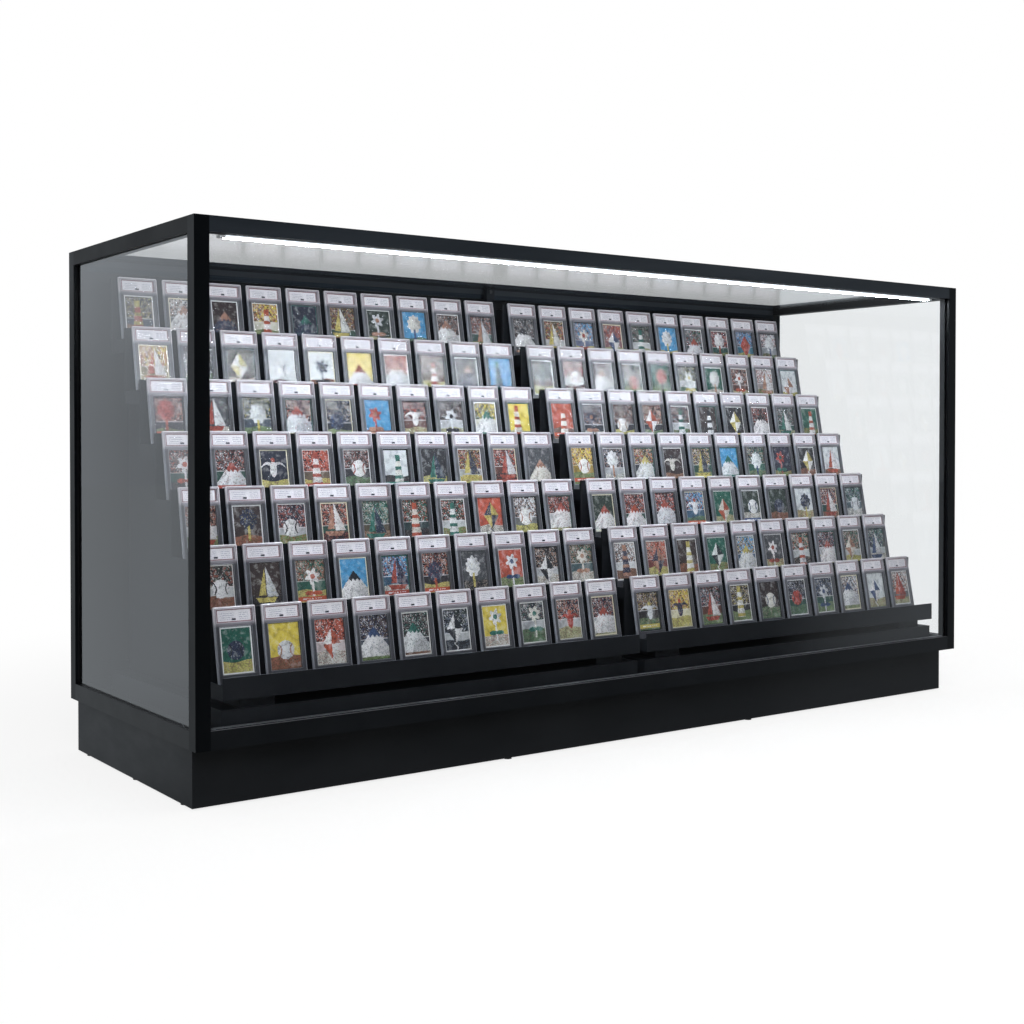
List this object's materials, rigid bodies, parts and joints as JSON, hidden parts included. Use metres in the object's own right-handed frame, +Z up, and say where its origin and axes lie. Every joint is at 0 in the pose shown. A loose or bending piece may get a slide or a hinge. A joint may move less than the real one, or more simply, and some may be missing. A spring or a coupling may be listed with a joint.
{
  "type": "display case",
  "caption": "Low glazed counter showcase on a boxed base, with stepped racks of leaning card slabs, a strip lamp, and sliding rear doors with a push lock.",
  "frame": {"origin": "middle of the case's footprint, on the floor", "axes": "+X along the front to the viewer's right, +Y from the front glass to the rear doors, +Z up"},
  "size_m": [2, 0.6, 0.988],
  "materials": {
    "frame_black": "satin powder coat",
    "base_laminate": "matt black laminate",
    "raw_board": "bare particle board",
    "deck_laminate": "matt black laminate",
    "clear_glass": "clear float glass, polished",
    "gasket_rubber": "matt",
    "track_aluminium": "black anodised",
    "door_frame_black": "satin powder coat",
    "door_laminate": "matt black laminate",
    "pull_steel": "brushed",
    "roller_nylon": "moulded nylon",
    "axle_steel": "ground",
    "lock_chrome": "polished",
    "rack_steel": "fine-texture powder coat",
    "screw_steel": "black oxide",
    "lamp_aluminium": "anodised",
    "lamp_diffuser": "opal, lit",
    "lamp_board": "white solder mask",
    "driver_case": "moulded",
    "switch_plastic": "moulded",
    "glide_nylon": "moulded nylon",
    "slab_clear": "clear moulded, polished",
    "card_print": "printed card, semi-gloss",
    "card_label": "printed paper"
  },
  "bodies": {
    "case": {"base_braces": "raw_board", "base_front_board": "base_laminate", "base_rear_board": "base_laminate", "base_side_boards": "base_laminate", "bottom_front_rail": "frame_black", "bottom_rear_rail": "frame_black", "bottom_side_rails": "frame_black", "centre_standard": "rack_steel", "corner_connectors": "frame_black", "deck_board": "deck_laminate", "deck_screws": "screw_steel", "floor_glides": "glide_nylon", "front_glass": "clear_glass", "front_posts": "frame_black", "glass_gaskets": "gasket_rubber", "lamp_channel": "lamp_aluminium", "lamp_diffuser": "lamp_diffuser", "lamp_driver": "driver_case", "lamp_end_caps": "lamp_diffuser", "lamp_strip": "lamp_board", "lead_grommet": "gasket_rubber", "left_card_trays": "rack_steel", "left_cards": "card_print", "left_glass": "clear_glass", "left_labels": "card_label", "left_slab_backs": "slab_clear", "left_slab_fronts": "slab_clear", "lower_door_track": "track_aluminium", "rack_bases": "rack_steel", "rack_brackets": "rack_steel", "rear_posts": "frame_black", "right_card_trays": "rack_steel", "right_cards": "card_print", "right_glass": "clear_glass", "right_labels": "card_label", "right_slab_backs": "slab_clear", "right_slab_fronts": "slab_clear", "standard_screws": "screw_steel", "switch_housing": "switch_plastic", "top_front_rail": "frame_black", "top_glass": "clear_glass", "top_rear_rail": "frame_black", "top_side_rails": "frame_black", "tray_screws": "screw_steel", "upper_door_track": "track_aluminium"},
    "left_door": {"left_door_panel": "door_laminate", "left_door_frame": "door_frame_black", "left_door_pull": "pull_steel", "left_door_axles": "axle_steel"},
    "left_roller_a": {"left_door_roller_a": "roller_nylon"},
    "left_roller_b": {"left_door_roller_b": "roller_nylon"},
    "right_door": {"right_door_panel": "door_laminate", "right_door_frame": "door_frame_black", "right_door_pull": "pull_steel", "right_door_axles": "axle_steel", "lock_housing": "lock_chrome"},
    "right_roller_a": {"right_door_roller_a": "roller_nylon"},
    "right_roller_b": {"right_door_roller_b": "roller_nylon"},
    "lock_pin": {"lock_plunger": "lock_chrome"},
    "rocker": {"switch_rocker": "switch_plastic"}
  },
  "joints": [
    {"name": "left_door_slide", "type": "slide", "parent": "case", "child": "left_door", "axis": [1, 0, 0], "range_m": [0, 0.9585]},
    {"name": "left_roller_a_spin", "type": "hinge", "parent": "left_door", "child": "left_roller_a", "pos_m": [-0.8845, 0.28, 0.1443], "axis": [0, 1, 0], "continuous": true},
    {"name": "left_roller_b_spin", "type": "hinge", "parent": "left_door", "child": "left_roller_b", "pos_m": [-0.074, 0.28, 0.1443], "axis": [0, 1, 0], "continuous": true},
    {"name": "right_door_slide", "type": "slide", "parent": "case", "child": "right_door", "axis": [-1, 0, 0], "range_m": [0, 0.9585]},
    {"name": "right_roller_a_spin", "type": "hinge", "parent": "right_door", "child": "right_roller_a", "pos_m": [0.074, 0.293, 0.1443], "axis": [0, 1, 0], "continuous": true},
    {"name": "right_roller_b_spin", "type": "hinge", "parent": "right_door", "child": "right_roller_b", "pos_m": [0.8845, 0.293, 0.1443], "axis": [0, 1, 0], "continuous": true},
    {"name": "lock_push", "type": "slide", "parent": "right_door", "child": "lock_pin", "axis": [0, -1, 0], "range_m": [0, 0.0065]},
    {"name": "switch_rock", "type": "hinge", "parent": "case", "child": "rocker", "pos_m": [0.84, 0.286, 0.055], "axis": [1, 0, 0], "range_deg": [0, 20]}
  ],
  "couplings": [
    {"joint": "left_roller_a_spin", "follows": "left_door_slide", "rad_per_m": 181.82},
    {"joint": "left_roller_b_spin", "follows": "left_door_slide", "rad_per_m": 181.82},
    {"joint": "right_roller_a_spin", "follows": "right_door_slide", "rad_per_m": -181.82},
    {"joint": "right_roller_b_spin", "follows": "right_door_slide", "rad_per_m": -181.82}
  ]
}
